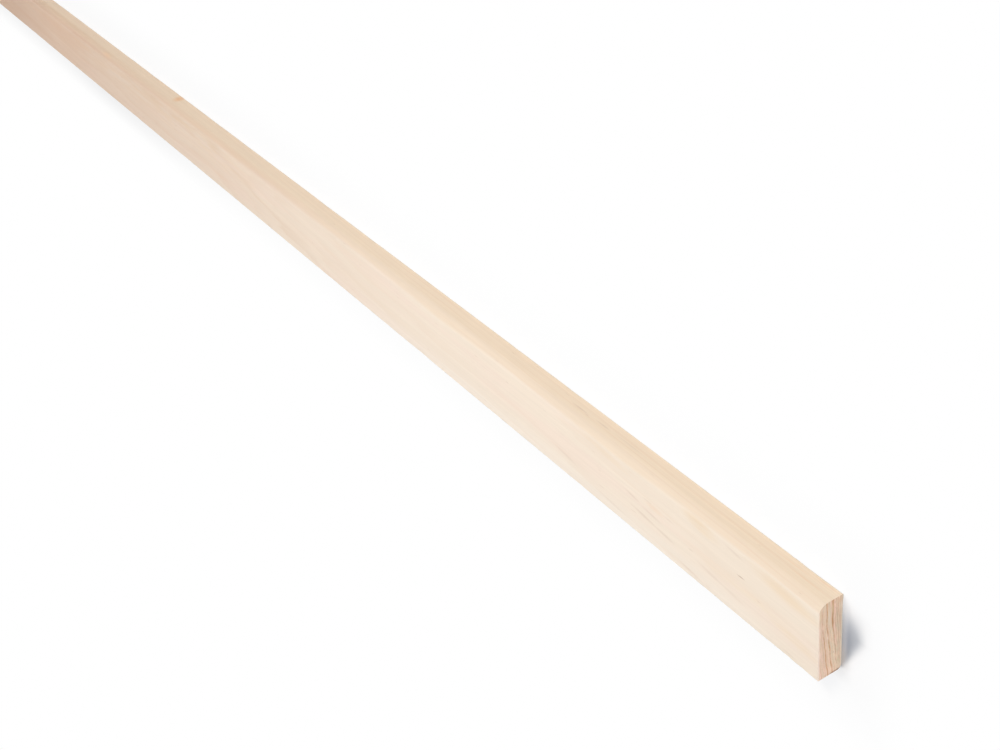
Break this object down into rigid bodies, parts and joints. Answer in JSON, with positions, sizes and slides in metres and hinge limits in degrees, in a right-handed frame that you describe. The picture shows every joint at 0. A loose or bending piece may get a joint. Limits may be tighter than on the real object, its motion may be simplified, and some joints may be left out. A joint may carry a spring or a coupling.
{
  "type": "skirting board",
  "caption": "Straight length of planed pine skirting board with a flat back, a flat show face and a rounded upper edge, cut square at both ends.",
  "frame": {"origin": "middle of the back, the wide flat face that the board lies on and that meets the wall once it is fitted", "axes": "+X along the board, +Y from the foot to the top edge, +Z out of the show face; turned 90 degrees about +X it stands on its foot with the show face towards -Y"},
  "size_m": [2.4, 0.045, 0.014],
  "materials": {
    "pine": "planed bare softwood, unfinished and matt, with sawn ends"
  },
  "bodies": {
    "root": {"skirting_board": "pine"}
  },
  "joints": []
}
